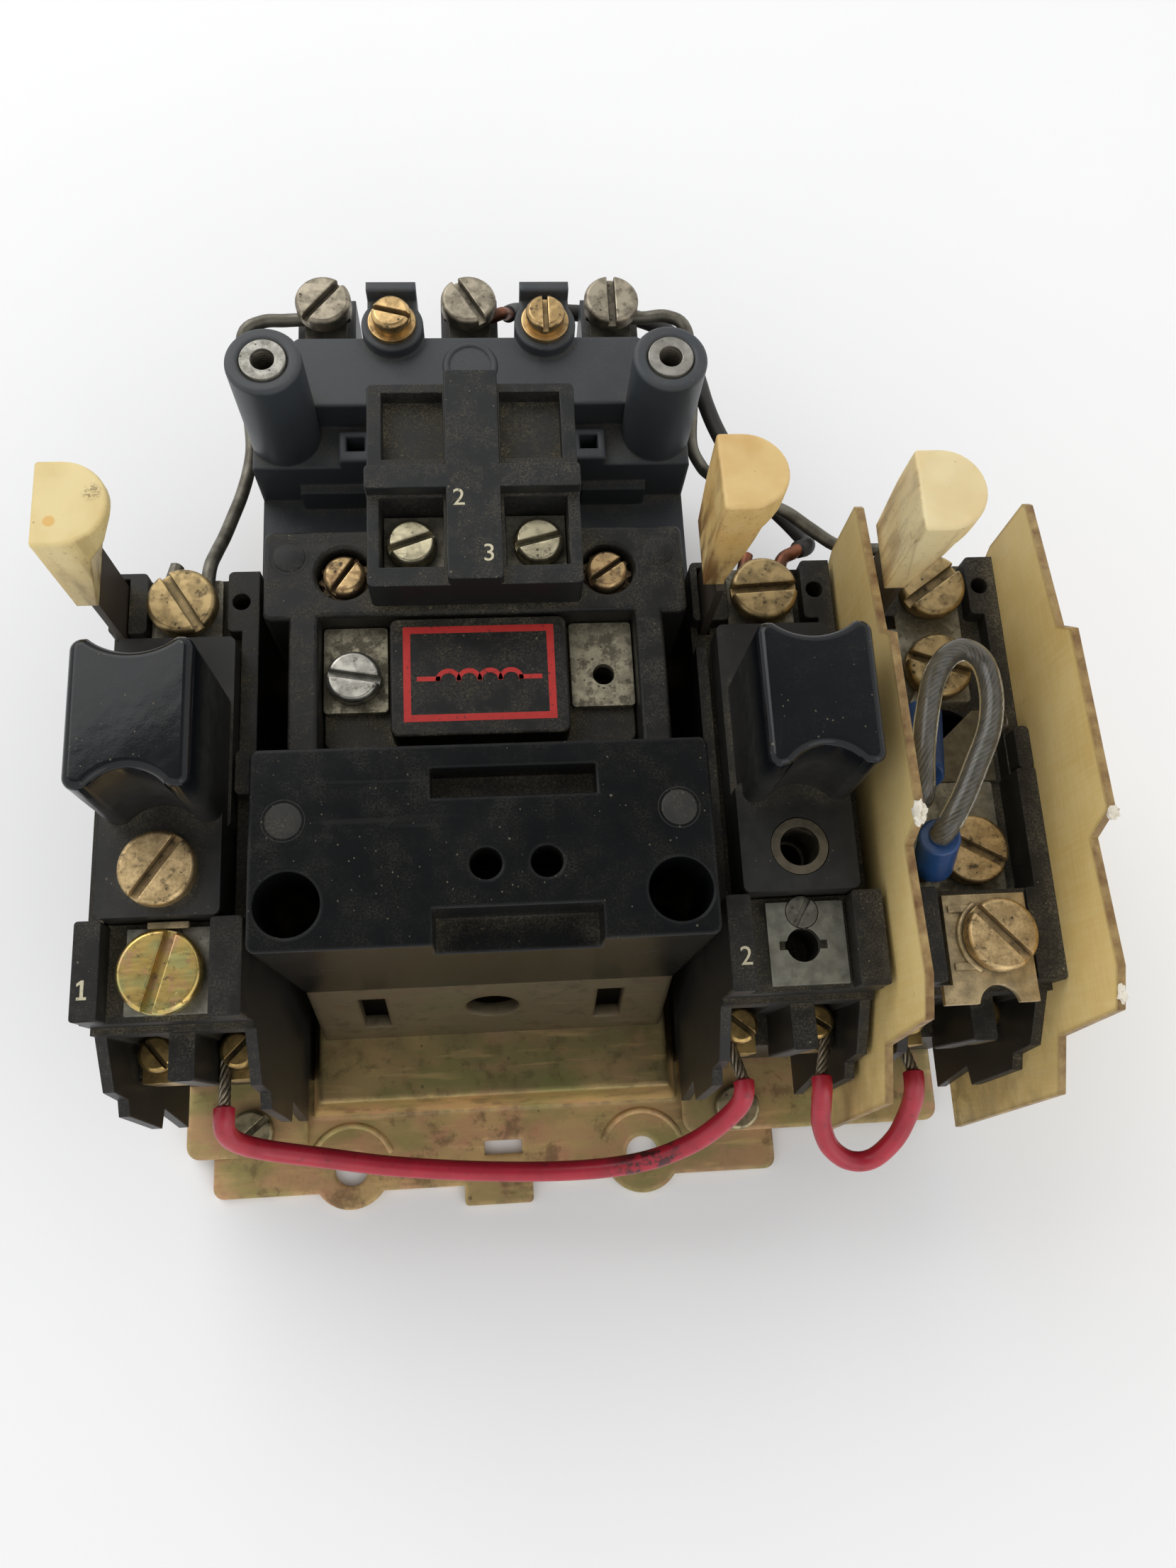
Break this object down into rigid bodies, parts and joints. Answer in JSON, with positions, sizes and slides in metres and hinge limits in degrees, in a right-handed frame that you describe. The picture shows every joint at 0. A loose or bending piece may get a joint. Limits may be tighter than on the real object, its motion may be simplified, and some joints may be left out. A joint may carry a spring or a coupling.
{
  "type": "panel-mounted motor starter",
  "caption": "Open panel motor starter: solenoid contactor with auxiliary contact and melting-alloy overload relays with push-to-reset levers, wired on a stamped steel plate.",
  "frame": {"origin": "midway between the two lower mounting holes, on the back face of the base plate", "axes": "+Z out of the panel, +Y to the line side, +X to the right as seen from the front"},
  "size_m": [0.1396, 0.1615, 0.0938],
  "materials": {
    "zinc_plate": "yellow chromate on zinc, satin, with dirt in the corners",
    "bronze_screw": "dull brass-bronze plating with brown tarnish",
    "black_phenolic": "moulded phenolic, satin, dusty",
    "slate_phenolic": "moulded phenolic, matte slate black",
    "gloss_phenolic": "moulded phenolic, polished by handling",
    "lamination": "stacked magnet steel",
    "nickel_plate": "dull nickel plate",
    "screw_steel": "plated steel, worn",
    "spring_steel": "bright wire",
    "copper": "bare copper, browned",
    "carrier_plastic": "dark brown phenolic",
    "ivory_pale": "aged ivory nylon",
    "ivory_amber": "aged amber nylon",
    "ivory_peach": "aged cream nylon",
    "barrier_sheet": "glass-cloth laminate, cream with brown edges",
    "tinned_wire": "dark tinned solid wire",
    "black_sleeve": "black insulation",
    "red_pvc": "crimson insulation, lightly soiled",
    "clear_pvc": "clear insulation over dull strands",
    "blue_sleeve": "translucent blue crimp insulation"
  },
  "bodies": {
    "frame": {"base_plate": "zinc_plate", "overload_foot_left": "zinc_plate", "overload_foot_right": "zinc_plate", "mounting_screws": "bronze_screw", "magnet_bracket": "zinc_plate", "front_block": "black_phenolic", "contactor_body": "black_phenolic", "magnet_core": "lamination", "coil": "black_phenolic", "coil_terminals": "nickel_plate", "coil_screw": "nickel_plate", "arc_chamber": "slate_phenolic", "post_inserts": "nickel_plate", "load_straps": "nickel_plate", "line_straps": "nickel_plate", "pole_screws": "screw_steel", "tower_screws": "bronze_screw", "aux_block": "black_phenolic", "aux_plates": "nickel_plate", "aux_screws": "nickel_plate", "aux_mount_screws": "bronze_screw", "overload_housing_left": "black_phenolic", "overload_housing_centre": "black_phenolic", "overload_housing_right": "black_phenolic", "reset_spring_left": "spring_steel", "reset_spring_centre": "spring_steel", "reset_spring_right": "spring_steel", "heater_left": "gloss_phenolic", "heater_centre": "gloss_phenolic", "alloy_spindles": "bronze_screw", "heater_eyelets": "bronze_screw", "relay_line_plates": "nickel_plate", "heater_plates": "nickel_plate", "relay_power_screws": "bronze_screw", "load_plates": "nickel_plate", "load_clip_plate": "bronze_screw", "flush_screws": "nickel_plate", "control_clamps": "nickel_plate", "control_screws": "bronze_screw", "barrier_inner": "barrier_sheet", "barrier_outer": "barrier_sheet", "power_leads": "tinned_wire", "centre_lead": "black_sleeve", "red_leads": "red_pvc", "lead_ends": "copper", "clear_jumper": "clear_pvc", "crimp_sleeves": "blue_sleeve", "crimp_lugs": "nickel_plate"},
    "carrier": {"contact_carrier": "carrier_plastic", "armature": "lamination", "contact_bridges": "copper", "contact_springs": "spring_steel"},
    "reset_left": {"reset_lever_left": "ivory_pale", "trip_slide_left": "carrier_plastic"},
    "reset_centre": {"reset_lever_centre": "ivory_amber", "trip_slide_centre": "carrier_plastic"},
    "reset_right": {"reset_lever_right": "ivory_peach", "trip_slide_right": "carrier_plastic"}
  },
  "joints": [
    {"name": "carrier_slide", "type": "slide", "parent": "frame", "child": "carrier", "axis": [0, 1, 0], "range_m": [0, 0.005]},
    {"name": "reset_left_push", "type": "slide", "parent": "frame", "child": "reset_left", "axis": [0, 0, -1], "range_m": [0, 0.005], "stiffness_N_per_m": 300, "springref_m": -0.003, "deforming": ["reset_spring_left"]},
    {"name": "reset_centre_push", "type": "slide", "parent": "frame", "child": "reset_centre", "axis": [0, 0, -1], "range_m": [0, 0.005], "stiffness_N_per_m": 300, "springref_m": -0.003, "deforming": ["reset_spring_centre"]},
    {"name": "reset_right_push", "type": "slide", "parent": "frame", "child": "reset_right", "axis": [0, 0, -1], "range_m": [0, 0.005], "stiffness_N_per_m": 300, "springref_m": -0.003, "deforming": ["reset_spring_right"]}
  ]
}
